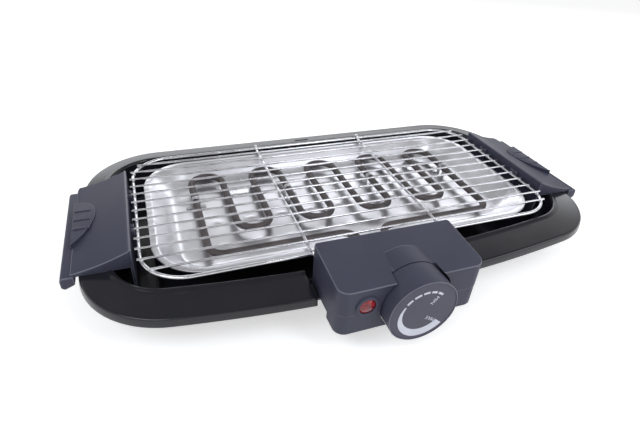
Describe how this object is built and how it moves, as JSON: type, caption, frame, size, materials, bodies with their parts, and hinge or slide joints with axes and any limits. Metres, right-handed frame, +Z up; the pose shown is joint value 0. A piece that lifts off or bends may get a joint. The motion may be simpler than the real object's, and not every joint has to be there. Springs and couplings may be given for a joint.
{
  "type": "tabletop electric grill",
  "caption": "Low tabletop electric grill: oblong tray with end handles, a lift-off wire grate, a serpentine heating element over a bright reflector pan and a front control box with a knob.",
  "frame": {"origin": "on the table under the middle of the grill's overall box", "axes": "+X runs along the grill to the right handle, -Y points to the control box and knob, +Z is up"},
  "size_m": [0.4928, 0.2986, 0.0705],
  "materials": {
    "gloss_black_plastic": "glossy moulded black",
    "grey_plastic": "fine matte moulded dark grey",
    "steel": "plain steel",
    "rubber": "matte black",
    "bright_aluminium": "bright rolled sheet",
    "element_sheath": "dark oxidised sheath",
    "red_lens": "clear red plastic",
    "lamp_glass": "clear glass",
    "brass": "plain brass",
    "ceramic": "off-white",
    "wire_brown": "wire insulation",
    "wire_blue": "wire insulation",
    "wire_yellow": "wire insulation",
    "wire_green": "wire insulation",
    "chrome_wire": "bright plated wire"
  },
  "bodies": {
    "base": {"base_tray": "gloss_black_plastic", "left_handle": "grey_plastic", "right_handle": "grey_plastic", "handle_screws": "steel", "rubber_feet": "rubber"},
    "heating_unit": {"reflector_pan": "bright_aluminium", "heating_element": "element_sheath", "terminal_pins": "steel", "element_clips": "steel", "clip_rivets": "steel", "element_flange": "steel", "control_cover": "grey_plastic", "control_bottom": "grey_plastic", "housing_screws": "steel", "lamp_bezel": "grey_plastic", "lamp_lens": "red_lens", "neon_lamp": "lamp_glass", "thermostat_body": "steel", "thermostat_nut": "brass", "terminal_block": "ceramic", "live_wire": "wire_brown", "neutral_wire": "wire_blue", "lamp_wire": "wire_yellow", "element_wire": "wire_brown", "earth_wire": "wire_green", "cord_gland": "rubber"},
    "knob": {"thermostat_shaft": "steel", "temperature_knob": "grey_plastic"},
    "grate": {"grate_frame": "chrome_wire", "grate_rods": "chrome_wire", "grate_long_rods": "chrome_wire", "grate_cross_bars": "chrome_wire"}
  },
  "joints": [
    {"name": "heating_unit_lift", "type": "slide", "parent": "base", "child": "heating_unit", "axis": [0, 0, 1], "range_m": [0, 0.06]},
    {"name": "grate_lift", "type": "slide", "parent": "heating_unit", "child": "grate", "axis": [0, 0, 1], "range_m": [0, 0.05]},
    {"name": "knob_turn", "type": "hinge", "parent": "heating_unit", "child": "knob", "pos_m": [-0.0035, -0.14, 0.0425], "axis": [0, 1, 0], "range_deg": [0, 318]}
  ]
}
